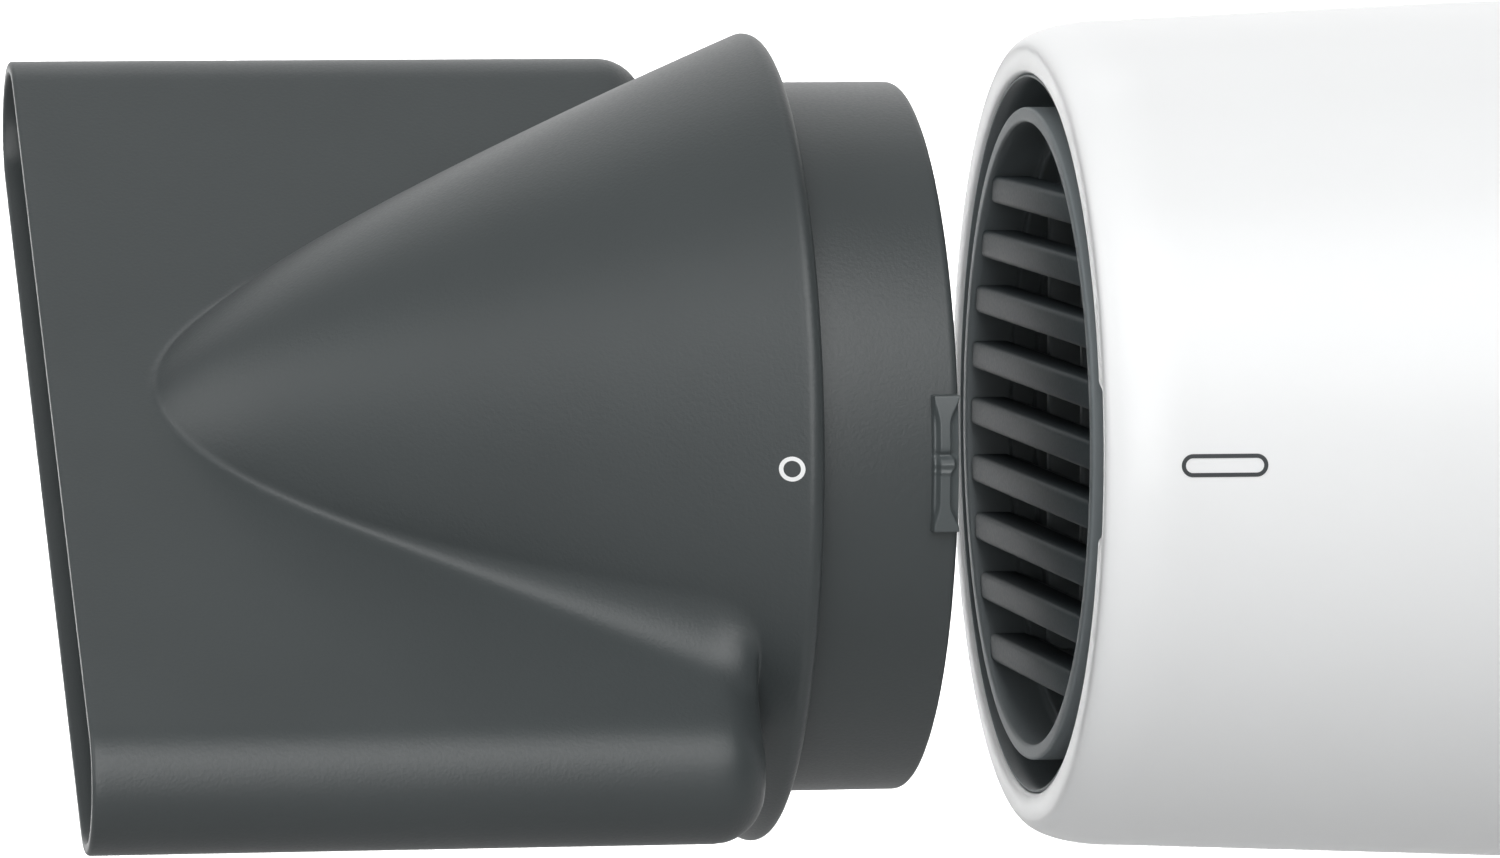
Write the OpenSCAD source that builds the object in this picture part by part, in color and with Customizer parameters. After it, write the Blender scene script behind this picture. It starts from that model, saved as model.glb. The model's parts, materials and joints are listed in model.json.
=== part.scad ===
// Hair dryer with a pull-off swivelling concentrator nozzle.
// +X points from the outlet to the rear, +Z up along the handle.
// The origin is the middle of the grip, on the handle's axis.

/* [Barrel] */
// Height of the barrel's axis above the middle of the grip
axis_h = 78; // [74:1:84]
// Distance from the mouth back to the handle's axis
reach = 100; // [96:1:106]
// Length of the white barrel, from its mouth to the rear cover
barrel_l = 158; // [156:1:162]
// Outer radius of the barrel just behind its rounded lip
front_r = 35.3; // [35:0.1:36]
// Growth of the barrel's radius per millimetre of length
flare = 0.046; // [0.04:0.002:0.05]
// Wall of the barrel
barrel_wall = 2; // [1.6:0.1:2.2]

/* [Outlet] */
// Radius of the mouth that takes the nozzle's collar
mouth_r = 30.45; // [30.4:0.05:30.6]
// Outer radius of the grille's ring
ring_r = 27.9; // [27.5:0.1:28]
// Depth of the groove that takes the nozzle's collar
socket_depth = 13.9; // [13:0.1:14.5]
// Number of fins in the grille
fin_count = 9; // [7:2:9]
// Distance from fin to fin
fin_pitch = 5; // [4.8:0.1:5.2]
// Thickness of a fin
fin_t = 2.4; // [2:0.1:2.6]

/* [Nozzle] */
// Distance that the nozzle stands ahead of the mouth
nozzle_gap = 11.6; // [1:0.1:30]
// Outer radius of the collar
collar_r = 30.15; // [30:0.05:30.2]
// Length of the nozzle from the collar's rim to the slot
nozzle_l = 72.4; // [70:0.2:76]
// Half of the blade's width
blade_w = 45.7; // [42:0.1:48]
// Half of the blade's thickness
blade_t = 6.1; // [5.5:0.1:7]
// Turn of the blade from upright, about the barrel's axis
blade_roll = 51; // [0:1:180]

/* [Handle] */
// Distance from the middle of the grip to the handle's foot
grip_down = 95; // [90:1:100]
// Outer radius of the handle at its foot
foot_r = 17; // [16.5:0.1:17.5]
// Outer radius of the handle under the barrel
neck_r = 19; // [18.6:0.1:19.4]
// Radius of the hole for the cord
cord_r = 3.5; // [3:0.1:4]
// Radius of the eye in the hanging loop
loop_r = 6; // [5:0.5:7]

/* [Hidden] */
$fn = 64;

// Colours
slate = [0.31, 0.33, 0.33];
white = [0.93, 0.94, 0.94];
copper = [0.75, 0.42, 0.22];
steel = [0.7, 0.71, 0.72];
mica = [0.72, 0.66, 0.52];

// Gap between pieces that move past each other
clear = 0.3;
// Gap between pieces that stay together
seat = 0.05;

// The nozzle, measured as s, the distance ahead of the collar's rim
flange_s = 11.9;
flange_round = 1;
flange_lean = 23.6;
nozzle_wall = 1.7;
blade_wall = 1.1;
swivel_gap = 0.06;
bead_s = [15.5, 17.3];
collar_wall = 1.85;
collar_l = 19.8;
cone_tip_s = 63.8;
cone_slope = 0.537;
cone_sag = 0.00109;
cone_bulge = 3.8;
cone_nose = 6;
blade_back_s = 17.4;
tab_w = 11.5;
tab_l = 2.2;
tab_h = 1;

// The barrel, measured as u, the distance behind the mouth
lip_r = 33;
lip_l = 7.1;
lip_t = 1.6;
taper_u = 60;
taper = 0.000595;
spigot_r = 15.7;

// The marks that line up when the nozzle is pushed on
mark_line = 0.34;
mark_depth = 0.4;
nozzle_mark_s = 14.65;
nozzle_mark_r = 1.02;
barrel_mark_u = 9.55;
barrel_mark_l = 7.2;
barrel_mark_h = 1.9;

// The fan and the motor
fan_bore_r = 32.2;
fan_case_u = [118, 150];
fan_case_wall = 1.2;
can_u = [95, 123];
can_r = 15;
shaft_r = 1.5;
impeller_u = [130, 142];
blade_count = 9;
vane_count = 7;

// The controls, as heights above the middle of the grip
panel_z = [-24, 34];
panel_half_w = 11.5;
panel_flat_x = 17;
panel_back_x = 14.3;
speed_z = 17.5;
heat_z = -0.5;
button_z = -15.5;
lights_z = -8;
slider_travel = 8;
board_x = 9;

// The foot
foot_z = -grip_down;
screw_y = 12.2;
loop_x = 13.5;
loop_t = 3.6;

function cone_r(s) = let (t = cone_tip_s - s)
    blade_t + cone_slope * t - cone_sag * t * t + cone_bulge * (1 - exp(-t / cone_nose));
function barrel_r(u) = front_r + flare * (u - lip_l) - taper * pow(max(0, u - taper_u), 2);
function handle_r(z) = foot_r + (neck_r - foot_r) * (z + grip_down) / (grip_down + 45);

// Places its children with +Z along u, from the mouth to the rear
module along_barrel() {
    translate([-reach, 0, axis_h]) rotate([0, 90, 0]) children();
}

// Places its children with +Z along s, from the collar's rim to the slot, and +X up
module along_nozzle() {
    translate([-reach - nozzle_gap, 0, axis_h]) rotate([0, -90, 0]) children();
}

// A tube between two heights
module tube(r_out, r_in, z0, z1) {
    translate([0, 0, z0]) difference() {
        cylinder(r = r_out, h = z1 - z0);
        translate([0, 0, -1]) cylinder(r = r_in, h = z1 - z0 + 2);
    }
}

// A solid turned from points given as [radius, height]
module turned(points) {
    rotate_extrude() polygon(points);
}

module box_at(centre, size) {
    translate(centre) cube(size, center = true);
}

// A flat outline with round ends, along X
module stadium(half_l, r) {
    square([2 * (half_l - r), 2 * r], center = true);
    for (side = [-1, 1]) translate([side * (half_l - r), 0]) circle(r = r);
}

/* Nozzle */

// The cone starts where the flange's rounded edge leans over into it
cone_s = flange_s + flange_round * (1 + sin(flange_lean));
flange_edge_r = cone_r(cone_s) - flange_round * cos(flange_lean);

module cone_outside() {
    turned(concat(
        [[0, flange_s]],
        [for (i = [0 : 8]) let (a = (90 + flange_lean) * i / 8) [
            flange_edge_r + flange_round * sin(a),
            flange_s + flange_round * (1 - cos(a))
        ]],
        [for (s = [cone_s + 2 : 3.5 : 67]) if (cone_r(s) > 1) [cone_r(s), s]],
        [[0, 67]]
    ));
}

module cone_inside() {
    inner = [for (s = [collar_l : 4 : 60]) [cone_r(s) - nozzle_wall, s]];
    turned(concat([[0, collar_l]], inner, [[0, inner[len(inner) - 1][1]]]));
}

module blade(half_l, r, s0, s1) {
    translate([0, 0, s0]) linear_extrude(s1 - s0) rotate(blade_roll) stadium(half_l, r);
}

module nozzle_ring_mark(extra) {
    translate([0, -cone_r(nozzle_mark_s), nozzle_mark_s]) rotate([90, 0, 0]) difference() {
        cylinder(r = nozzle_mark_r + extra, h = 8, center = true);
        cylinder(r = nozzle_mark_r - mark_line - extra, h = 9, center = true);
    }
}

// A cone that follows the nozzle's skin near the mark, at the given depth
module mark_skin(depth) {
    s0 = nozzle_mark_s - 3;
    s1 = nozzle_mark_s + 3;
    slope = (cone_r(s1) - cone_r(nozzle_mark_s)) / 3;
    r = cone_r(nozzle_mark_s) - depth;
    translate([0, 0, s0]) cylinder(r1 = r - 3 * slope, r2 = r + 3 * slope, h = s1 - s0);
}

module nozzle_shell() {
    color(slate) along_nozzle() difference() {
        union() {
            cone_outside();
            blade(blade_w, blade_t, blade_back_s, nozzle_l);
        }
        cone_inside();
        blade(blade_w - blade_wall, blade_t - blade_wall, collar_l, nozzle_l + 1);
        translate([0, 0, flange_s - 1]) cylinder(r = collar_r + swivel_gap, h = collar_l - flange_s + 1);
        translate([0, 0, bead_s[0] - clear]) cylinder(r = 31.3, h = bead_s[1] - bead_s[0] + 2 * clear);
        difference() {
            nozzle_ring_mark(0.02);
            mark_skin(mark_depth);
        }
    }
}

module nozzle_mark() {
    color(white) along_nozzle() intersection() {
        nozzle_ring_mark(0);
        difference() {
            mark_skin(-0.03);
            mark_skin(mark_depth - 0.02);
        }
    }
}

module nozzle_collar() {
    inner_r = collar_r - collar_wall;
    color(slate) along_nozzle() {
        turned([
            [inner_r, 0.4], [inner_r + 0.5, 0], [collar_r - 0.6, 0], [collar_r - 0.15, 0.15],
            [collar_r, 0.6], [collar_r, bead_s[0]], [31, bead_s[0]], [31, bead_s[1]],
            [collar_r, bead_s[1]], [collar_r, collar_l - 0.3], [inner_r, collar_l - 0.3]
        ]);
        // Key on the collar's side, with flared ends and a small bump for the detent
        for (end = [-1, 1]) {
            box_at([end * (tab_w / 2 - 1), -collar_r - tab_h / 2 + 0.5, tab_l / 2], [2, tab_h + 1, tab_l]);
        }
        box_at([0, -collar_r - 0.1, tab_l / 2], [tab_w - 1, 1.2, tab_l - 0.4]);
        translate([0, -collar_r - 0.7, 0.2]) cylinder(r = 0.6, h = tab_l - 0.4);
    }
}

/* Barrel */

module barrel_outside(extra = 0, end = barrel_l) {
    turned(concat(
        [[0, 0]],
        [for (a = [0 : 10 : 90]) [
            lip_r + extra + (front_r - lip_r) * sin(a),
            lip_l * (1 - cos(a))
        ]],
        [for (u = [lip_l + 7 : 7 : end - 1]) [barrel_r(u) + extra, u]],
        [[barrel_r(end) + extra, end], [0, end]]
    ));
}

module barrel_inside() {
    turned(concat(
        [[0, lip_t]],
        [[31.75, lip_t], [front_r - barrel_wall - 0.4, lip_l]],
        [for (u = [lip_l + 7 : 7 : barrel_l - 1]) [barrel_r(u) - barrel_wall, u]],
        [[barrel_r(barrel_l) - barrel_wall, barrel_l + 1], [0, barrel_l + 1]]
    ));
}

module key_way(depth) {
    box_at([0, -(collar_r + tab_h + clear) / 2 - 10, depth / 2],
        [tab_w + 2 * clear, collar_r + tab_h + clear - 20, depth + 2]);
}

module barrel_stadium_mark(extra) {
    translate([0, -front_r, barrel_mark_u]) rotate([90, 0, 0]) rotate(90)
        translate([0, 0, -4]) linear_extrude(8) difference() {
            stadium(barrel_mark_l / 2 + extra, barrel_mark_h / 2 + extra);
            stadium(barrel_mark_l / 2 - mark_line - extra, barrel_mark_h / 2 - mark_line - extra);
        }
}

module barrel_shell() {
    color(white) along_barrel() difference() {
        barrel_outside();
        barrel_inside();
        translate([0, 0, -1]) cylinder(r = mouth_r, h = 5);
        key_way(socket_depth);
        translate([0, 0, reach]) rotate([0, 90, 0]) cylinder(r = spigot_r + 0.1, h = 60);
        difference() {
            barrel_stadium_mark(0.02);
            barrel_outside(-mark_depth);
        }
    }
}

module barrel_mark() {
    color(slate) along_barrel() intersection() {
        barrel_stadium_mark(0);
        difference() {
            barrel_outside(0.03);
            barrel_outside(-mark_depth + 0.02);
        }
    }
}

module outlet_sleeve() {
    wall_r = 31.65;
    color(slate) along_barrel() difference() {
        union() {
            tube(wall_r, mouth_r, lip_t + seat, socket_depth + 1.6);
            tube(wall_r, 27, socket_depth, socket_depth + 1.6);
            tube(30.4, 29.2, socket_depth, socket_depth + 9);
        }
        key_way(socket_depth);
    }
}

module outlet_grille() {
    inner_r = ring_r - 1.3;
    fin_depth = 3.4;
    color(slate) along_barrel() {
        turned([
            [inner_r + 0.4, 0], [ring_r - 0.4, 0], [ring_r, 0.4], [ring_r, socket_depth - seat],
            [inner_r - 0.6, socket_depth - seat], [inner_r - 0.6, fin_depth + 1], [inner_r, fin_depth],
            [inner_r, 0.4]
        ]);
        intersection() {
            cylinder(r = inner_r + 0.3, h = socket_depth);
            union() {
                for (i = [0 : fin_count - 1]) {
                    x = (i - (fin_count - 1) / 2) * fin_pitch;
                    box_at([x, 0, 0.3 + fin_depth / 2], [fin_t, 60, fin_depth]);
                }
                for (y = [-14, 0, 14]) box_at([0, y, fin_depth + 1.5], [60, 1.6, 3.6]);
            }
        }
    }
}

/* Heater */

module heater_tube() {
    color(mica) along_barrel() tube(28.9, 28.2, socket_depth + 2, 78);
}

module heater_boards() {
    board_l = 52;
    color(mica) along_barrel() translate([0, 0, 19]) difference() {
        union() {
            translate([-23.5, -0.4, 0]) cube([47, 0.8, board_l]);
            translate([-0.4, -23.5, 0]) cube([0.8, 47, board_l]);
        }
        for (turn = [0 : 90 : 270]) rotate(turn) box_at([13, 0, board_l / 2], [7, 2, 26]);
    }
}

module heater_coils() {
    color(copper) along_barrel() for (i = [0 : 10]) {
        translate([0, 0, 21 + i * 4.7]) rotate_extrude() translate([24.4, 0]) circle(r = 0.6);
    }
}

module thermostat() {
    color(steel) along_barrel() {
        box_at([-8, 5, 66], [10, 8, 6]);
        translate([-8, 5, 60]) cylinder(r = 3, h = 3.2);
    }
}

module thermal_fuse() {
    color(steel) along_barrel() {
        translate([8, 6, 52]) cylinder(r = 1.8, h = 11);
        translate([8, 6, 45]) cylinder(r = 0.4, h = 25);
    }
}

module ion_emitter() {
    color(white) along_barrel() translate([-14, -12, 19.2]) {
        difference() {
            cylinder(r = 3.4, h = 12);
            translate([0, 0, -1]) cylinder(r = 2.4, h = 5);
        }
        translate([0, 0, 0.6]) cylinder(r1 = 0.2, r2 = 0.6, h = 3);
    }
}

/* Fan and motor */

module fan_case() {
    color(slate) along_barrel() tube(fan_bore_r + fan_case_wall, fan_bore_r, fan_case_u[0], fan_case_u[1]);
}

module fan_case_gasket() {
    color([0.15, 0.15, 0.16]) along_barrel() for (u = [124, 140]) {
        tube(barrel_r(u + 3) - barrel_wall - 0.15, fan_bore_r + fan_case_wall + seat, u, u + 3);
    }
}

// The cup that holds the motor, on guide vanes inside the fan case
module motor_mount() {
    hub_r = 16.6;
    hub_u = [117.5, 127];
    vane_end = fan_bore_r - 0.1;
    color(slate) along_barrel() {
        tube(hub_r, can_r + seat, hub_u[0], hub_u[1]);
        tube(hub_r, 5, hub_u[1] - 1.6, hub_u[1]);
        for (i = [0 : vane_count - 1]) rotate(i * 360 / vane_count + 12) {
            box_at([(hub_r + vane_end) / 2 - 0.15, 0, 122.5], [vane_end - hub_r + 0.3, 1.4, 8]);
        }
    }
}

module motor_can() {
    color(steel) along_barrel() difference() {
        translate([0, 0, can_u[0]]) cylinder(r = can_r, h = can_u[1] - can_u[0]);
        translate([0, 0, can_u[0] + 3.5]) cylinder(r = can_r - 1.2, h = can_u[1] - can_u[0] - 7);
        translate([0, 0, can_u[0] - 1]) cylinder(r = 4.6, h = can_u[1] - can_u[0] + 2);
    }
}

module stator_coils() {
    color(copper) along_barrel() for (turn = [0 : 60 : 300]) rotate(turn) {
        intersection() {
            box_at([11.3, 0, 109], [4.2, 8, 17]);
            tube(can_r - 1.3, 9.2, 99, 119);
        }
    }
}

module bearing(u) {
    along_barrel() tube(4.55, shaft_r + 0.03, u, u + 3);
}

module front_bearing() {
    color(steel) bearing(can_u[0] + 0.2);
}

module rear_bearing() {
    color(steel) bearing(can_u[1] - 3.2);
}

module motor_shaft() {
    color(steel) along_barrel() translate([0, 0, 92]) cylinder(r = shaft_r, h = 54);
}

module rotor_magnet() {
    color([0.25, 0.25, 0.27]) along_barrel() tube(8.5, shaft_r, 100, 118);
}

module impeller() {
    hub_r = 12;
    color([0.5, 0.52, 0.53]) along_barrel() difference() {
        union() {
            translate([0, 0, impeller_u[0]]) cylinder(r = hub_r, h = impeller_u[1] - impeller_u[0]);
            intersection() {
                tube(fan_bore_r - 0.6, hub_r - 1, impeller_u[0], impeller_u[1]);
                for (i = [0 : blade_count - 1]) rotate(i * 360 / blade_count) {
                    translate([20, 0, 136]) rotate([38, 0, 0]) cube([30, 1.5, 30], center = true);
                }
            }
        }
        translate([0, 0, impeller_u[0] - 1]) cylinder(r = shaft_r, h = 20);
    }
}

module impeller_nut() {
    color([0.78, 0.62, 0.3]) along_barrel() difference() {
        translate([0, 0, impeller_u[1] + seat]) cylinder(r = 4, h = 3, $fn = 6);
        translate([0, 0, impeller_u[1] - 1]) cylinder(r = shaft_r, h = 6);
    }
}

/* Rear intake */

module rear_ring() {
    color(slate) along_barrel() tube(34.4, 33.1, 151, barrel_l - 1);
}

module rear_cover() {
    side_u = barrel_l + clear;
    edge_r = barrel_r(barrel_l);
    dome_u = barrel_l + 9;
    color(slate) along_barrel() {
        turned([
            [edge_r - 2, side_u], [edge_r, side_u], [edge_r - 0.2, side_u + 3], [edge_r - 1.1, side_u + 6],
            [edge_r - 3, side_u + 8], [edge_r - 5.5, dome_u], [edge_r - 8, dome_u + 0.6],
            [edge_r - 8, dome_u - 1], [edge_r - 4.6, side_u + 5], [edge_r - 2, side_u + 4]
        ]);
        tube(32.8, 31.4, 153, side_u + 6);
        for (r = [24.4, 20.2, 16, 11.8, 7.6]) tube(r + 1, r - 1.2, dome_u - 1, dome_u + 1.2);
        translate([0, 0, dome_u - 1]) cylinder(r = 4, h = 2.4);
        for (turn = [0 : 45 : 315]) rotate(turn) translate([3, -0.8, dome_u - 1]) cube([27, 1.6, 1.6]);
    }
}

module filter_mesh() {
    mesh_u = barrel_l + 3;
    strand = 0.5;
    color(steel) along_barrel() {
        tube(31.3, 29.6, mesh_u - 0.4, mesh_u + 0.8);
        intersection() {
            translate([0, 0, mesh_u]) cylinder(r = 30, h = strand);
            for (i = [-7 : 7]) {
                box_at([i * 4, 0, mesh_u + strand / 2], [strand, 62, strand]);
                box_at([0, i * 4, mesh_u + strand / 2], [62, strand, strand]);
            }
        }
    }
}

/* Handle */

module handle_solid(inset, z0) {
    rotate_extrude() polygon([
        [0, z0], [handle_r(z0) - inset, z0], [handle_r(50) - inset, 50], [0, 50]
    ]);
}

// The handle's tube, cut to the barrel above and open where the control panel sits
module handle_tube() {
    difference() {
        union() {
            difference() {
                handle_solid(0, foot_z + 5);
                along_barrel() barrel_outside(seat, 150);
            }
            translate([0, 0, 30]) cylinder(r = spigot_r, h = 18);
        }
        difference() {
            handle_solid(2.2, foot_z + 4);
            translate([0, 0, 34]) cylinder(r = 40, h = 30);
        }
        translate([0, 0, 30]) cylinder(r = spigot_r - 1.9, h = 30);
        box_at([20, 0, (panel_z[0] + panel_z[1]) / 2],
            [20, 2 * panel_half_w + 0.2, panel_z[1] - panel_z[0] + 0.2]);
    }
}

module handle_half(side) {
    color(white) {
        intersection() {
            handle_tube();
            translate([-50, side > 0 ? 0.02 : -100.02, -150]) cube([100, 100, 300]);
        }
        // Boss that takes an end screw
        translate([0, side * screw_y, foot_z + 5]) difference() {
            cylinder(r = 3, h = 12);
            translate([0, 0, -1]) cylinder(r = 1.2, h = 11);
        }
    }
}

module handle_left() {
    handle_half(-1);
}

module handle_right() {
    handle_half(1);
}

module slider_slot(z, half_w, extra) {
    box_at([16, 0, z + slider_travel / 2], [12, 2 * half_w, slider_travel + extra]);
}

module control_panel() {
    middle = (panel_z[0] + panel_z[1]) / 2;
    color(slate) difference() {
        intersection() {
            handle_solid(0, foot_z + 5);
            box_at([panel_back_x + 10, 0, middle], [20, 2 * panel_half_w, panel_z[1] - panel_z[0]]);
        }
        box_at([panel_flat_x + 5, 0, middle - 0.5], [10, 16, panel_z[1] - panel_z[0] - 4]);
        for (z = [speed_z, heat_z]) slider_slot(z, 1.6, 4.6);
        translate([0, 0, button_z]) rotate([0, 90, 0]) cylinder(r = 4.9, h = 30);
        for (y = [-3, 0, 3]) translate([0, y, lights_z]) rotate([0, 90, 0]) cylinder(r = 0.75, h = 30);
    }
}

module slider(z) {
    color(white) {
        difference() {
            box_at([panel_flat_x + 1.9, 0, z], [3.2, 9, 6.6]);
            for (i = [-2 : 2]) {
                translate([panel_flat_x + 3.9, 0, z + i * 1.2]) rotate([90, 0, 0]) {
                    cylinder(r = 0.6, h = 10, center = true);
                }
            }
        }
        box_at([15.6, 0, z], [4, 2.6, 4]);
    }
}

module speed_slider() {
    slider(speed_z);
}

module heat_slider() {
    slider(heat_z);
}

module cool_button() {
    color(slate) translate([0, 0, button_z]) rotate([0, 90, 0]) {
        turned([
            [0, 15.6], [4.6, 15.6], [4.6, 18.6], [4.2, 19.1], [2.5, 18.9], [0, 18.7]
        ]);
        translate([0, 0, 12.6]) cylinder(r = 1.4, h = 3.2);
    }
}

module cool_button_spring() {
    color(steel) translate([0, 0, button_z]) rotate([0, 90, 0]) for (i = [0 : 3]) {
        translate([0, 0, 11.3 + i * 1.2]) rotate_extrude() translate([2.7, 0]) circle(r = 0.3);
    }
}

module switch_board() {
    color([0.1, 0.35, 0.2]) {
        box_at([board_x + 0.6, 0, (panel_z[0] + panel_z[1]) / 2], [1.2, 16, 54]);
        for (z = [speed_z, heat_z]) {
            box_at([board_x + 2.5, 0, z + slider_travel / 2], [2.6, 6, 14]);
        }
        translate([board_x + 1.2, 0, button_z]) rotate([0, 90, 0]) cylinder(r = 1.8, h = 0.9);
        for (y = [-3, 0, 3]) box_at([board_x + 1.7, y, lights_z], [1, 1.2, 1.6]);
    }
}

module status_lights() {
    color([0.85, 0.9, 0.95]) for (y = [-3, 0, 3]) {
        translate([11.4, y, lights_z]) rotate([0, 90, 0]) cylinder(r = 0.7, h = 5.7);
    }
}

module power_board() {
    color([0.1, 0.35, 0.2]) box_at([-4.5, 0, -47], [1.5, 24, 46]);
    color([0.2, 0.2, 0.22]) {
        box_at([-8.2, 4, -38], [5.4, 9, 12]);
        box_at([-0.8, -4, -52], [5.6, 10, 14]);
        translate([-3.7, 6, -34]) rotate([0, 90, 0]) cylinder(r = 4, h = 9);
        translate([-3.7, 6, -62]) rotate([0, 90, 0]) cylinder(r = 3, h = 6);
    }
}

module terminal_block() {
    color([0.3, 0.3, 0.32]) difference() {
        box_at([0, 0, -78], [14, 16, 8]);
        for (y = [-5, 0, 5]) translate([0, y, -90]) cylinder(r = 1.2, h = 20);
    }
}

module wiring() {
    color([0.75, 0.15, 0.12]) for (y = [-3, 0, 3]) {
        translate([-12.2, y, -73]) cylinder(r = 0.9, h = 128);
        translate([-12.2, y, 55]) sphere(r = 0.9);
        translate([-12.2, y, 55]) rotate([0, -90, 0]) cylinder(r = 0.9, h = 15);
    }
}

module end_cap() {
    color(slate) difference() {
        turned(concat(
            [[0, foot_z]],
            [for (a = [0 : 15 : 90]) [foot_r - 4 + 4 * sin(a), foot_z + 4 * (1 - cos(a))]],
            [[foot_r, foot_z + 5 - seat], [foot_r - 2.4, foot_z + 5 - seat], [foot_r - 2.4, foot_z + 3.5],
                [0, foot_z + 3.5]]
        ));
        translate([0, 0, foot_z - 1]) cylinder(r = 6.1, h = 8);
        for (side = [-1, 1]) translate([0, side * screw_y, foot_z - 1]) {
            cylinder(r = 1.4, h = 8);
            cylinder(r = 2.6, h = 2.4);
        }
        loop_foot(seat);
    }
}

module end_cap_screws() {
    color(steel) for (side = [-1, 1]) translate([0, side * screw_y, foot_z]) difference() {
        union() {
            translate([0, 0, 0.1]) cylinder(r = 2.3, h = 1.3);
            translate([0, 0, 0.1]) cylinder(r = 1.15, h = 13);
        }
        for (turn = [0, 90]) rotate(turn) box_at([0, 0, 0.1], [2.6, 0.6, 1.2]);
    }
}

module cord_gland() {
    color([0.12, 0.12, 0.13]) translate([0, 0, foot_z]) turned([
        [cord_r, -5], [4.9, -5], [5.4, -4.6], [6, -0.1], [6, 3.6], [7.4, 3.6], [7.4, 5.4], [cord_r, 5.4]
    ]);
}

// The root of the hanging loop, which sits in a pocket through the end cap
module loop_foot(gap) {
    box_at([loop_x, 0, foot_z], [5 + 2 * gap, loop_t + 2 * gap, 6.8 + 2 * gap]);
}

module hang_loop() {
    rim = 2.4;
    loop_z = foot_z - loop_r - rim + 0.3;
    color([0.12, 0.12, 0.13]) difference() {
        union() {
            translate([loop_x, 0, loop_z]) rotate([90, 0, 0]) {
                cylinder(r = loop_r + rim, h = loop_t, center = true);
            }
            loop_foot(0);
        }
        translate([loop_x, 0, loop_z]) rotate([90, 0, 0]) cylinder(r = loop_r, h = 2 * loop_t, center = true);
    }
}

nozzle_shell();
nozzle_mark();
nozzle_collar();
barrel_shell();
barrel_mark();
outlet_sleeve();
outlet_grille();
heater_tube();
heater_boards();
heater_coils();
thermostat();
thermal_fuse();
ion_emitter();
fan_case();
fan_case_gasket();
motor_mount();
motor_can();
stator_coils();
front_bearing();
rear_bearing();
motor_shaft();
rotor_magnet();
impeller();
impeller_nut();
rear_ring();
rear_cover();
filter_mesh();
handle_left();
handle_right();
control_panel();
speed_slider();
heat_slider();
cool_button();
cool_button_spring();
switch_board();
status_lights();
power_board();
terminal_block();
wiring();
end_cap();
end_cap_screws();
cord_gland();
hang_loop();
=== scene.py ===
"""A hair dryer with its concentrator nozzle pulled off, on a pale floor in soft studio light."""
import json
import math

import bmesh
import bpy
import numpy as np
from mathutils import Matrix, Vector


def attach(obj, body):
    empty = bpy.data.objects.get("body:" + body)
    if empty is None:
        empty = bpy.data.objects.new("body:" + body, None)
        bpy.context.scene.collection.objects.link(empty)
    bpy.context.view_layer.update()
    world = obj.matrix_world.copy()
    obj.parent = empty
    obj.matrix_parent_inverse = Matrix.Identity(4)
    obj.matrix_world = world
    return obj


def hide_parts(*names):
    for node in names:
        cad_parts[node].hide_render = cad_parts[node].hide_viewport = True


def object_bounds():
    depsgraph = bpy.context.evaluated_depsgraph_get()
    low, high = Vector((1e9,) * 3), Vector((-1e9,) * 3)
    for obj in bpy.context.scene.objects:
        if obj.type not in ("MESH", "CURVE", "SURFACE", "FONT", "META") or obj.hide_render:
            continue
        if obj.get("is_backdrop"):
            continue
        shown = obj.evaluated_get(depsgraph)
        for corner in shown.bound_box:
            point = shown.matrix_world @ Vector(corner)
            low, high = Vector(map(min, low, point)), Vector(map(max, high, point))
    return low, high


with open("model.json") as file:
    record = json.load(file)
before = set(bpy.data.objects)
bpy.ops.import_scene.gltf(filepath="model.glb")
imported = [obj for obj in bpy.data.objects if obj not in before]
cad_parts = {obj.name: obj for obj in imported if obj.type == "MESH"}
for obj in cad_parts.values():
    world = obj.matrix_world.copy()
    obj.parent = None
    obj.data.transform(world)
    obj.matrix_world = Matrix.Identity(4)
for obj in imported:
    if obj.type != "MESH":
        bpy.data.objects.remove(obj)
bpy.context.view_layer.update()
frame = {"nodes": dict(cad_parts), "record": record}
nodes = frame["nodes"]

MM = 0.001

# Main sizes in millimetres, the CAD model's own or within 1 mm of them
AXIS_H = 78
REACH = 100
NOZZLE_GAP = 11.6
BARREL_L = 158
MOUTH_R = 30.45
RING_R = 27.9
SOCKET_DEPTH = 13.9
COLLAR_R = 30.15
COLLAR_WALL = 1.85
FLANGE_S = 11.9
FLANGE_ROUND = 1
FLANGE_LEAN = math.radians(23.6)
NOZZLE_L = 72.4
BLADE_W = 45.7
BLADE_T = 6.1
BLADE_BACK_S = 16.6
BLADE_WALL = 1.1
BLADE_CORNER = 4.2
BLADE_ROLL = math.radians(51)
TIP_S = 63.8
NOZZLE_WALL = 1.7
SWIVEL_R = 30.21
KEY_HALF = 5.75
KEY_CLEAR = 0.3
KEY_RISE = 1
LIP_R = 33
LIP_L = 7.1
FRONT_R = 35.28
FLARE = 0.046
TAPER_U = 60
TAPER = 0.000595
BARREL_WALL = 2
SLEEVE_LIP = 0.22
FIN_COUNT = 9
FIN_PITCH = 5.0
FIN_DEPTH = 3.4
FIN_SETBACK = 0.35


# ---------------------------------------------------------------- shapes

def cone_r(s):
    """The nozzle cone's outer radius at s, the distance ahead of the collar's rim."""
    t = TIP_S - s
    return BLADE_T + 0.537 * t - 0.00109 * t * t + 3.8 * (1 - np.exp(-t / 6))


def barrel_r(u):
    """The barrel's outer radius at u, the distance behind the mouth."""
    return FRONT_R + FLARE * (u - LIP_L) - TAPER * np.maximum(0, u - TAPER_U) ** 2


def smooth_max(a, b, k):
    """The larger of a and b, blended where they differ by less than k."""
    h = np.maximum(k - np.abs(a - b), 0) / k
    return np.maximum(a, b) + h * h * k / 4


def smooth_step(x):
    x = np.clip(x, 0, 1)
    return x * x * (3 - 2 * x)


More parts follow.
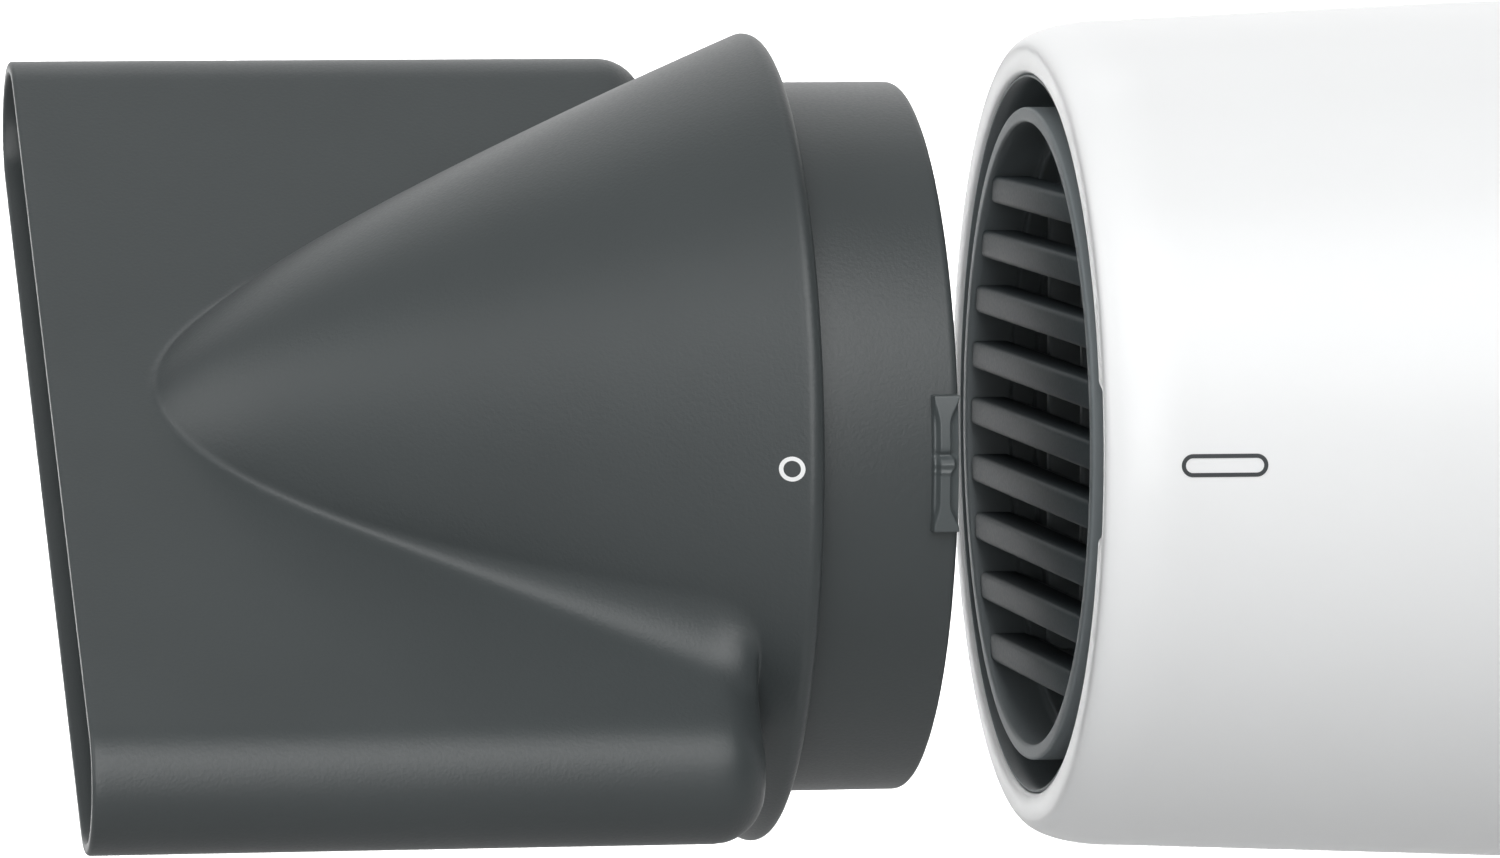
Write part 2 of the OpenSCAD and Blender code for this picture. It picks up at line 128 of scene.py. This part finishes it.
def stadium_radius(angle, half_w, half_t):
    """Distance from the centre to a flat outline with round ends, its width along angle 0."""
    c, s = np.abs(np.cos(angle)), np.abs(np.sin(angle))
    flat = half_t / np.maximum(s, 1e-9)
    straight = half_w - half_t
    round_end = straight * c + np.sqrt(np.maximum(half_t ** 2 - (straight * s) ** 2, 0))
    return np.where(flat * c <= straight, flat, round_end)


def around_barrel(u, r, angle):
    """Points in metres on rings about the barrel's axis. Angle 0 is up and 90 degrees is +Y."""
    u, r, angle = np.broadcast_arrays(u, r, angle)
    x = u - REACH
    return np.stack([x, r * np.sin(angle), AXIS_H + r * np.cos(angle)], -1) * MM


def around_nozzle(s, r, angle):
    """The same, with s measured forwards from the collar's rim."""
    return around_barrel(-NOZZLE_GAP - np.asarray(s, float), r, angle)


# ---------------------------------------------------------------- meshes

def add_object(name, mesh):
    obj = bpy.data.objects.new(name, mesh)
    bpy.context.scene.collection.objects.link(obj)
    return obj


def mesh_from(name, verts, faces, smooth=True):
    mesh = bpy.data.meshes.new(name)
    mesh.from_pydata([tuple(v) for v in verts], [], faces)
    bm = bmesh.new()
    bm.from_mesh(mesh)
    bmesh.ops.recalc_face_normals(bm, faces=bm.faces)
    bm.to_mesh(mesh)
    bm.free()
    mesh.polygons.foreach_set("use_smooth", [smooth] * len(mesh.polygons))
    return add_object(name, mesh)


def ring_faces(rings, count, loop):
    """Quads between rings of count points each. With loop, the last ring joins the first."""
    faces = []
    for i in range(rings if loop else rings - 1):
        a, b = i * count, (i + 1) % rings * count
        for j in range(count):
            k = (j + 1) % count
            faces.append((a + j, a + k, b + k, b + j))
    return faces


def ring_piece(name, rings, loop=True):
    """A piece from closed rings of points. Without loop, both ends are capped."""
    rings = np.asarray(rings)
    count = rings.shape[1]
    faces = ring_faces(len(rings), count, loop)
    if not loop:
        last = (len(rings) - 1) * count
        faces.append(tuple(range(count)))
        faces.append(tuple(last + j for j in range(count)))
    return mesh_from(name, rings.reshape(-1, 3), faces)


def rounded(points, radius, steps=4):
    """A closed outline of (u, r) points with each corner rounded by up to radius."""
    out = []
    count = len(points)
    for i, p in enumerate(points):
        p = np.array(p, float)
        before = np.array(points[i - 1], float) - p
        after = np.array(points[(i + 1) % count], float) - p
        reach = min(radius, np.linalg.norm(before) / 2.2, np.linalg.norm(after) / 2.2)
        a = p + before / np.linalg.norm(before) * reach
        b = p + after / np.linalg.norm(after) * reach
        for k in range(steps + 1):
            t = k / steps
            out.append((1 - t) ** 2 * a + 2 * t * (1 - t) * p + t * t * b)
    return out


def turned_piece(name, points, count=192, place=around_barrel):
    """A piece turned about the barrel's axis from a closed outline of (u, r) points."""
    angle = np.linspace(0, 2 * np.pi, count, endpoint=False)
    rings = [place(p[0], p[1], angle) for p in points]
    return ring_piece(name, rings)


# ---------------------------------------------------------------- materials

def new_material(name):
    mat = bpy.data.materials.new(name)
    mat.use_nodes = True
    tree = mat.node_tree
    shader = next(n for n in tree.nodes if n.type == "BSDF_PRINCIPLED")
    return mat, tree, shader


def noise_node(tree, scale, detail=3.0, roughness=0.5):
    coords = tree.nodes.new("ShaderNodeTexCoord")
    noise = tree.nodes.new("ShaderNodeTexNoise")
    noise.inputs["Scale"].default_value = scale
    noise.inputs["Detail"].default_value = detail
    noise.inputs["Roughness"].default_value = roughness
    tree.links.new(coords.outputs["Object"], noise.inputs["Vector"])
    return noise


def ramp_node(tree, source, low, high):
    """Maps a noise to the range low to high; both are numbers or colours."""
    ramp = tree.nodes.new("ShaderNodeMapRange")
    ramp.inputs["From Min"].default_value = 0.3
    ramp.inputs["From Max"].default_value = 0.7
    ramp.inputs["To Min"].default_value = low
    ramp.inputs["To Max"].default_value = high
    tree.links.new(source, ramp.inputs["Value"])
    return ramp.outputs["Result"]


def mix_colours(tree, factor, a, b):
    mix = tree.nodes.new("ShaderNodeMix")
    mix.data_type = "RGBA"
    mix.inputs["A"].default_value = (*a, 1)
    mix.inputs["B"].default_value = (*b, 1)
    tree.links.new(factor, mix.inputs["Factor"])
    return mix.outputs["Result"]


def plastic(name, colour, roughness, grain=0.0, grain_scale=3500, spread=0.06, coat=0.0, specular=0.5):
    """Moulded plastic: slight mottling, uneven gloss, and a fine moulded grain."""
    mat, tree, shader = new_material(name)
    cloud = noise_node(tree, 60, 4)
    factor = ramp_node(tree, cloud.outputs["Fac"], 0, 1)
    darker = [c * (1 - spread) for c in colour]
    lighter = [min(1, c * (1 + spread)) for c in colour]
    tree.links.new(mix_colours(tree, factor, darker, lighter), shader.inputs["Base Color"])
    fine = noise_node(tree, grain_scale, 2)
    gloss = ramp_node(tree, fine.outputs["Fac"], roughness * 0.93, min(1, roughness * 1.07))
    tree.links.new(gloss, shader.inputs["Roughness"])
    shader.inputs["Specular IOR Level"].default_value = specular
    shader.inputs["Coat Weight"].default_value = coat
    shader.inputs["Coat Roughness"].default_value = 0.2
    if grain:
        bump = tree.nodes.new("ShaderNodeBump")
        bump.inputs["Strength"].default_value = grain
        bump.inputs["Distance"].default_value = 0.00006
        tree.links.new(fine.outputs["Fac"], bump.inputs["Height"])
        tree.links.new(bump.outputs["Normal"], shader.inputs["Normal"])
    return mat


def metal(name, colour, roughness, brush=(1, 1, 1), scale=900):
    """Metal with fine drawn or turned lines, stretched by brush."""
    mat, tree, shader = new_material(name)
    shader.inputs["Metallic"].default_value = 1
    noise = noise_node(tree, scale, 3)
    stretch = tree.nodes.new("ShaderNodeMapping")
    stretch.inputs["Scale"].default_value = brush
    source = noise.inputs["Vector"].links[0].from_socket
    tree.links.new(source, stretch.inputs["Vector"])
    tree.links.new(stretch.outputs["Vector"], noise.inputs["Vector"])
    factor = ramp_node(tree, noise.outputs["Fac"], 0, 1)
    darker = [c * 0.82 for c in colour]
    tree.links.new(mix_colours(tree, factor, darker, colour), shader.inputs["Base Color"])
    tree.links.new(ramp_node(tree, noise.outputs["Fac"], roughness * 0.8, roughness * 1.25),
                   shader.inputs["Roughness"])
    bump = tree.nodes.new("ShaderNodeBump")
    bump.inputs["Strength"].default_value = 0.15
    bump.inputs["Distance"].default_value = 0.00004
    tree.links.new(noise.outputs["Fac"], bump.inputs["Height"])
    tree.links.new(bump.outputs["Normal"], shader.inputs["Normal"])
    return mat


SLATE = (0.046, 0.054, 0.056)
MATERIALS = {
    "slate_plastic": plastic("slate_plastic", SLATE, 0.42, grain=0.35, spread=0.05,
                             specular=0.6),
    "white_gloss": plastic("white_gloss", (0.9, 0.91, 0.915), 0.36, grain=0.03, grain_scale=500,
                           spread=0.006, coat=0.12),
    # The mouth's lining, grille ring, fin roots and uprights: the slate plastic painted much lighter,
    # painted light that stands in for light reaching the shaded mouth
    "mouth_painted_light": plastic("mouth_painted_light", (0.2, 0.225, 0.235), 0.5, grain=0.3, spread=0.05,
                             specular=0.3),
    # The collar's key: the slate plastic painted lighter, painted light for its top, which faces the
    # front light
    "key_painted_light": plastic("key_painted_light", (0.075, 0.087, 0.09), 0.36, grain=0.2, spread=0.04,
                           specular=0.6),
    # The grille's fins: the slate plastic painted a little lighter and bluer, painted light for how
    # light falls on the fins
    "fin_painted_light": plastic("fin_painted_light", (0.055, 0.069, 0.075), 0.55, grain=0.3, spread=0.05,
                           specular=0.12),
    "white_satin": plastic("white_satin", (0.82, 0.83, 0.835), 0.4, grain=0.25, spread=0.01),
    "white_print": plastic("white_print", (0.86, 0.87, 0.87), 0.5, grain=0.2, spread=0.02),
    "slate_print": plastic("slate_print", (0.04, 0.046, 0.049), 0.5, grain=0.2, spread=0.05),
    "mica": plastic("mica", (0.5, 0.42, 0.28), 0.45, grain=0.5, grain_scale=700, spread=0.25),
    "resistance_wire": metal("resistance_wire", (0.42, 0.33, 0.27), 0.4),
    "ceramic": plastic("ceramic", (0.8, 0.78, 0.72), 0.3, grain=0.2, grain_scale=900, spread=0.04),
    "steel": metal("steel", (0.62, 0.63, 0.64), 0.3, brush=(1, 12, 12)),
    "copper_winding": metal("copper_winding", (0.78, 0.4, 0.2), 0.35, brush=(12, 1, 1)),
    "magnet": metal("magnet", (0.16, 0.16, 0.17), 0.5),
    "fan_plastic": plastic("fan_plastic", (0.2, 0.21, 0.22), 0.4, grain=0.3, spread=0.05),
    "brass": metal("brass", (0.8, 0.6, 0.3), 0.28),
    "black_rubber": plastic("black_rubber", (0.022, 0.022, 0.024), 0.62, grain=0.6, grain_scale=1800,
                            spread=0.2),
    "circuit_board": plastic("circuit_board", (0.02, 0.13, 0.06), 0.3, grain=0.4, grain_scale=1200,
                             spread=0.3, coat=0.3),
    "light_guide": plastic("light_guide", (0.75, 0.82, 0.88), 0.2, grain=0.1, spread=0.03, coat=0.4),
    "terminal_plastic": plastic("terminal_plastic", (0.1, 0.1, 0.105), 0.5, grain=0.4, spread=0.1),
    "wire_insulation": plastic("wire_insulation", (0.4, 0.04, 0.03), 0.4, grain=0.2, spread=0.1),
}


def paint(obj, slot):
    obj.data.materials.clear()
    obj.data.materials.append(MATERIALS[slot])


def finish_piece(obj, slot, body, *replaced, look=None):
    """Paints a new piece, puts it on its body and lets it stand for its CAD nodes."""
    paint(obj, look or slot)
    if replaced:
        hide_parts(*replaced)
    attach(obj, body)
    return obj


for part in frame["record"]["subparts"]:
    paint(nodes[part["node"]], part["material_slot"])


# ---------------------------------------------------------------- nozzle

def blade_angles(per_quarter=96):
    """Angles about the axis, close together where the blade's outline is far from it."""
    fine = np.linspace(0, np.pi / 2, 4001)
    r = stadium_radius(fine, BLADE_W, BLADE_T)
    length = np.hypot(np.diff(r * np.cos(fine)), np.diff(r * np.sin(fine)))
    share = np.concatenate([[0], np.cumsum(length / length.sum() + 0.8 / len(length))])
    quarter = np.interp(np.linspace(0, share[-1], per_quarter + 1), share, fine)[:-1]
    mirrored = np.pi - np.concatenate([[np.pi / 2], quarter[:0:-1]])
    half = np.concatenate([quarter, mirrored])
    return np.concatenate([half, half + np.pi])


def filleted_radius(angle, cone, half_w, half_t, fillet):
    """A circle and a flat outline with round ends, with a fillet where they meet."""
    blade = stadium_radius(angle, half_w, half_t)
    if cone <= half_t:
        return blade
    straight = half_w - half_t
    largest = (straight ** 2 - cone ** 2 + half_t ** 2) / (2 * (cone - half_t))
    fillet = min(fillet, 0.97 * largest)
    reach = math.sqrt((cone + fillet) ** 2 - (half_t + fillet) ** 2)
    c, s = np.abs(np.cos(angle)), np.abs(np.sin(angle))
    along = reach * c + (half_t + fillet) * s
    centre_sq = reach ** 2 + (half_t + fillet) ** 2
    arc = along - np.sqrt(np.maximum(fillet ** 2 - centre_sq + along ** 2, 0))
    theta = np.arctan2(s, c)
    between = (theta > math.atan2(half_t, reach)) & (theta < math.atan2(half_t + fillet, reach))
    return np.where(between, np.maximum(arc, cone), np.maximum(cone, blade))


def nozzle_outer_r(s, angle):
    """The shell's outer radius: a cone and a flat blade, with a fillet that grows backwards."""
    if s < BLADE_BACK_S:
        return np.full_like(angle, cone_r(s))
    into = min(s - BLADE_BACK_S, BLADE_CORNER)
    inset = BLADE_CORNER - math.sqrt(BLADE_CORNER ** 2 - (BLADE_CORNER - into) ** 2)
    fillet = 0.9 + 6.2 * np.clip((50 - s) / 32, 0, 1) ** 1.4
    cone = max(float(cone_r(s)), 0.5)
    return filleted_radius(angle, cone, BLADE_W - inset, BLADE_T - inset, float(fillet))


def nozzle_shell():
    """One closed skin: flange, cone and blade outside, the slot's rim, then back inside."""
    angle = blade_angles()
    turn = angle + BLADE_ROLL
    rings = []
    cone_s = FLANGE_S + FLANGE_ROUND * (1 + math.sin(FLANGE_LEAN))
    edge_r = float(cone_r(cone_s)) - FLANGE_ROUND * math.cos(FLANGE_LEAN)
    for a in np.linspace(0, math.pi / 2 + FLANGE_LEAN, 13):
        s = FLANGE_S + FLANGE_ROUND * (1 - math.cos(a))
        rings.append(around_nozzle(s, edge_r + FLANGE_ROUND * math.sin(a), turn))
    lip = 0.35
    along = np.concatenate([
        np.linspace(cone_s + 0.45, BLADE_BACK_S - 0.2, 20), np.linspace(BLADE_BACK_S, 19.8, 13),
        np.arange(20, 56, 0.8), np.arange(56, 69, 0.4), np.linspace(69, NOZZLE_L - lip, 5),
    ])
    for s in along:
        rings.append(around_nozzle(s, nozzle_outer_r(s, angle), turn))
    # The slot's rim, rounded outside and inside
    for a in np.radians([20, 40, 60, 75, 90]):
        inset = lip * (1 - math.cos(a))
        r = stadium_radius(angle, BLADE_W - inset, BLADE_T - inset)
        rings.append(around_nozzle(NOZZLE_L - lip + lip * math.sin(a), r, turn))
    for a in np.radians([90, 45, 0]):
        inset = BLADE_WALL - 0.25 + 0.25 * math.cos(a)
        r = stadium_radius(angle, BLADE_W - inset, BLADE_T - inset)
        rings.append(around_nozzle(NOZZLE_L - 0.25 + 0.25 * math.sin(a), r, turn))
    inside = stadium_radius(angle, BLADE_W - BLADE_WALL, BLADE_T - BLADE_WALL)
    for s in np.linspace(NOZZLE_L - 2, 20, 36):
        core = max(float(cone_r(s)) - NOZZLE_WALL, 0.5)
        rings.append(around_nozzle(s, smooth_max(core, inside, 1.5), turn))
    for s, r in ((19.8, SWIVEL_R + 0.3), (19.5, SWIVEL_R), (FLANGE_S + 0.3, SWIVEL_R),
                 (FLANGE_S, SWIVEL_R + 0.3), (FLANGE_S, edge_r - 0.8)):
        rings.append(around_nozzle(s, r, turn))
    shell = ring_piece("nozzle_shell_skin", rings)
    return finish_piece(shell, "slate_plastic", "nozzle", "nozzle_shell")


def collar():
    inner = COLLAR_R - COLLAR_WALL
    outline = [(0, inner), (0, COLLAR_R), (19.5, COLLAR_R), (19.5, inner)]
    tube = turned_piece("collar_tube", rounded(outline, 0.7, 5), 256, around_nozzle)
    return finish_piece(tube, "slate_plastic", "collar", "nozzle_collar")


def key_height(c, s):
    """Height of the collar's key above the collar, at c across the key and s from the rim.

    Its flat top flares at both ends, with a scoop in front and a small rib and groove midway.
    """
    end = smooth_step((KEY_HALF - np.abs(c)) / 0.3)
    flare = smooth_step((np.abs(c) - 2.9) / 2.6) ** 1.3
    back_edge = 2.28 - 0.45 * (1 - flare)
    back = smooth_step((2.42 - s) / 0.22) * (0.5 + 0.5 * smooth_step((back_edge + 0.3 - s) / 0.42))
    bulge = np.exp(-((c - 0.05) / 0.62) ** 4)
    front_edge = 0.98 - 0.86 * flare - 0.34 * bulge
    scoop = np.clip(s / np.maximum(front_edge, 0.08), 0, 1)
    front = 0.22 + 0.78 * np.where(scoop < 1, 0.72 * scoop ** 2.2, 1)
    edge = np.maximum(front, smooth_step((s - front_edge + 0.2) / 0.2))
    front = np.where(s >= front_edge - 0.07, edge, front)
    rib = 0.16 * np.exp(-((c + 0.05) / 0.24) ** 2) + 0.12 * np.exp(-((c + 0.68) / 0.17) ** 2)
    groove = 0.42 * np.exp(-((c - 0.72) / 0.27) ** 2)
    return KEY_RISE * end * back * front * (1 + 1.2 * rib - groove)


def collar_key():
    across = np.concatenate([
        np.linspace(-KEY_HALF, -KEY_HALF + 0.3, 6), np.linspace(-KEY_HALF + 0.4, -1.1, 26),
        np.linspace(-1, 1.2, 34), np.linspace(1.3, KEY_HALF - 0.4, 26),
        np.linspace(KEY_HALF - 0.3, KEY_HALF, 6),
    ])
    along = np.linspace(0.12, 2.42, 47)
    rings = []
    for s in along:
        r = COLLAR_R - 0.05 + key_height(across, s)
        angle = 1.5 * np.pi + across / COLLAR_R
        top = around_nozzle(s, r, angle)
        under = around_nozzle(s, COLLAR_R - 1.2, angle[::-1])
        rings.append(np.concatenate([top, under]))
    key = ring_piece("collar_key", rings, loop=False)
    # Painted lighter than the collar: painted light on the key's front-facing top
    return finish_piece(key, "slate_plastic", "collar", look="key_painted_light")


nozzle_shell()
collar()
collar_key()


# ---------------------------------------------------------------- barrel

def key_angles(count=240):
    """Angles about the axis, with more of them at the notch on the -Y side."""
    edge = math.asin(KEY_HALF / COLLAR_R)
    extra = [3 * np.pi / 2 + side * (edge + d) for side in (-1, 1) for d in np.linspace(-0.05, 0.05, 9)]
    base = np.linspace(0, 2 * np.pi, count, endpoint=False)
    return np.unique(np.concatenate([base, extra]))


def notch_depth(angle):
    """How far the key's notch reaches into the mouth's wall at each angle."""
    across = np.abs(MOUTH_R * np.cos(angle))
    near = np.sin(angle) < 0
    ramp = smooth_step((KEY_HALF + KEY_CLEAR + 0.5 - across) / 1.0)
    return np.where(near, ramp, 0) * (KEY_RISE + KEY_CLEAR)


def barrel_shell():
    """One closed skin: rounded lip, outside, rear edge, inside, then the mouth's bore."""
    angle = key_angles()
    rings = []
    notch = notch_depth(angle)
    for a in np.radians(np.arange(0, 91, 6)):
        u = LIP_L * (1 - math.cos(a))
        r = LIP_R + (FRONT_R - LIP_R) * math.sin(a)
        rings.append(around_barrel(u, r, angle))
    for u in np.arange(LIP_L + 2, BARREL_L, 3):
        rings.append(around_barrel(u, barrel_r(u), angle))
    end_r = float(barrel_r(BARREL_L))
    rings.append(around_barrel(BARREL_L - 0.3, end_r, angle))
    rings.append(around_barrel(BARREL_L, end_r - 0.3, angle))
    rings.append(around_barrel(BARREL_L, end_r - BARREL_WALL, angle))
    for u in np.arange(BARREL_L - 4, LIP_L, -8):
        rings.append(around_barrel(u, barrel_r(u) - BARREL_WALL, angle))
    rings.append(around_barrel(1.6, 32.2, angle))
    for u, gap in ((1.6, 0.3), (0.5, 0.3), (0.15, 0.4), (0, 0.65)):
        rings.append(around_barrel(u, MOUTH_R + notch + gap, angle))
    shell = ring_piece("barrel_skin", rings)
    return finish_piece(shell, "white_gloss", "housing", "barrel_shell")


def outlet_sleeve():
    """The dark lining of the mouth, with the step that the grille's ring stands on."""
    angle = key_angles()
    wall_r = 31.75
    notch = notch_depth(angle) * 0.92
    rings = [around_barrel(u, r, angle) for u, r in ((1.65, wall_r), (15.5, wall_r), (15.5, 27))]
    rings.append(around_barrel(SOCKET_DEPTH, 27, angle))
    rings.append(around_barrel(SOCKET_DEPTH, MOUTH_R, angle))
    for u in np.linspace(SOCKET_DEPTH - 0.2, 0.3, 9):
        rings.append(around_barrel(u, MOUTH_R + notch, angle))
    for u in (0.3, 1.64):
        rings.append(around_barrel(u, MOUTH_R + notch + SLEEVE_LIP, angle))
    sleeve = ring_piece("outlet_sleeve_skin", rings)
    # Painted lighter than the slate plastic: painted light in the shaded mouth
    return finish_piece(sleeve, "slate_plastic", "housing", "outlet_sleeve", look="mouth_painted_light")


barrel_shell()
outlet_sleeve()


# ---------------------------------------------------------------- grille

def bar(name, centre, size, radius=0.35, segments=3):
    """A box with rounded edges; centre and size in millimetres, in the row's axes."""
    mesh = bpy.data.meshes.new(name)
    bm = bmesh.new()
    bmesh.ops.create_cube(bm, size=1)
    bmesh.ops.scale(bm, vec=Vector(size) * MM, verts=bm.verts)
    bmesh.ops.bevel(bm, geom=bm.edges, offset=radius * MM, segments=segments, profile=0.5,
                    affect="EDGES", clamp_overlap=True)
    bmesh.ops.translate(bm, vec=Vector(centre) * MM, verts=bm.verts)
    bm.to_mesh(mesh)
    bm.free()
    mesh.polygons.foreach_set("use_smooth", [True] * len(mesh.polygons))
    return add_object(name, mesh)


def outlet_grille():
    """The stepped ring, the fins with their set-back roots, and the uprights behind them."""
    inner = RING_R - 1.3
    back = SOCKET_DEPTH - 0.1
    outline = [(0, inner), (0, RING_R), (back, RING_R), (back, inner - 2.6), (5.8, inner - 2.6),
               (5.8, inner - 1.4), (3.9, inner - 1.4), (3.9, inner - 0.3), (1.2, inner)]
    ring = turned_piece("grille_ring", rounded(outline, 0.3), 224)
    # Painted lighter than the slate plastic: painted light in the shaded mouth
    finish_piece(ring, "slate_plastic", "housing", "outlet_grille", look="mouth_painted_light")
    for i in range(FIN_COUNT):
        z = ((FIN_COUNT - 1) // 2 - i) * FIN_PITCH
        half = math.sqrt((inner - 0.15) ** 2 - z * z) - 0.25
        place = (-REACH + FIN_SETBACK + FIN_DEPTH / 2, 0, AXIS_H + z)
        fin = bar(f"grille_fin_{i + 1}", place, (FIN_DEPTH, 2 * half, 2.4), 0.42)
        # Painted lighter and bluer than the slate plastic: painted light on the fins
        finish_piece(fin, "slate_plastic", "housing", look="fin_painted_light")
        root = bar(f"grille_root_{i + 1}", (-REACH + 3.1, 0, AXIS_H + z), (2.6, 2 * half + 1, 1.9), 0.2)
        # Painted lighter than the slate plastic: painted light in the shaded mouth
        finish_piece(root, "slate_plastic", "housing", look="mouth_painted_light")
    for y in (-14, 0, 14):
        half = math.sqrt((inner - 1.6) ** 2 - y * y)
        rib = bar(f"grille_upright_{y + 14}", (-REACH + 6.6, y, AXIS_H), (3.6, 1.2, 2 * half), 0.3)
        # Painted lighter than the slate plastic: painted light in the shaded mouth
        finish_piece(rib, "slate_plastic", "housing", look="mouth_painted_light")


outlet_grille()


# ---------------------------------------------------------------- studio

def area_light(name, location, target, size, power, colour=(1, 1, 1)):
    data = bpy.data.lights.new(name, "AREA")
    data.shape = "RECTANGLE"
    data.size, data.size_y = size
    data.energy = power
    data.color = colour
    lamp = bpy.data.objects.new(name, data)
    bpy.context.scene.collection.objects.link(lamp)
    lamp.location = location
    aim = Vector(target) - Vector(location)
    lamp.rotation_euler = aim.to_track_quat("-Z", "Y").to_euler()
    return lamp


def studio():
    world = bpy.data.worlds.new("studio")
    bpy.context.scene.world = world
    world.use_nodes = True
    world.node_tree.nodes["Background"].inputs["Color"].default_value = (1, 1, 1, 1)
    world.node_tree.nodes["Background"].inputs["Strength"].default_value = 0.1
    floor_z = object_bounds()[0].z
    mesh = bpy.data.meshes.new("floor")
    span = 30
    mesh.from_pydata([(-span, -span, floor_z), (span, -span, floor_z), (span, span, floor_z),
                      (-span, span, floor_z)], [], [(0, 1, 2, 3)])
    floor = add_object("floor", mesh)
    mat, tree, shader = new_material("floor_paint")
    cloud = noise_node(tree, 3, 2)
    factor = ramp_node(tree, cloud.outputs["Fac"], 0, 1)
    tree.links.new(mix_colours(tree, factor, (0.5, 0.5, 0.5), (0.52, 0.52, 0.52)),
                   shader.inputs["Base Color"])
    shader.inputs["Roughness"].default_value = 0.9
    floor.data.materials.append(mat)
    floor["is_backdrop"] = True
    middle = (-0.08, 0, 0.078)
    front = area_light("front_light", (-0.15, -1.2, 1.0), middle, (2.4, 1.5), 7.9)
    front.data.spread = math.radians(80)
    area_light("fill_light", (-0.35, -1.2, 0.12), (-0.1, 0, 0.078), (0.5, 0.5), 2.6)
    area_light("back_light", (0.2, 2.1, 0.75), middle, (3.4, 1.3), 17)
    area_light("high_light", (-0.1, 1.1, 1.3), middle, (2.5, 0.8), 6)
    area_light("top_light", (-0.1, 0.1, 1.7), middle, (2.0, 1.0), 2)
    area_light("left_light", (-1.6, -0.2, 0.7), middle, (1.2, 1.2), 8)
    backdrop = area_light("backdrop_light", (0, 4.7, 2.6), (0, 4.7, 0), (8, 7), 830)
    backdrop.data.spread = math.radians(60)


def camera():
    data = bpy.data.cameras.new("camera")
    cam = bpy.data.objects.new("camera", data)
    bpy.context.scene.collection.objects.link(cam)
    data.sensor_width = 36
    data.lens = 236.2
    data.clip_start = 0.05
    data.clip_end = 100
    place = Matrix.Translation(Vector((-266.6, -822.5, 143.755)) * MM)
    turn = (Matrix.Rotation(math.radians(0.671), 4, "Y") @ Matrix.Rotation(math.radians(-4.409), 4, "X")
            @ Matrix.Rotation(math.radians(-9.864), 4, "Z"))
    cam.matrix_world = place @ turn @ Matrix.Rotation(math.radians(90), 4, "X")
    bpy.context.scene.camera = cam


studio()
camera()
bpy.context.scene.view_settings.view_transform = "Standard"
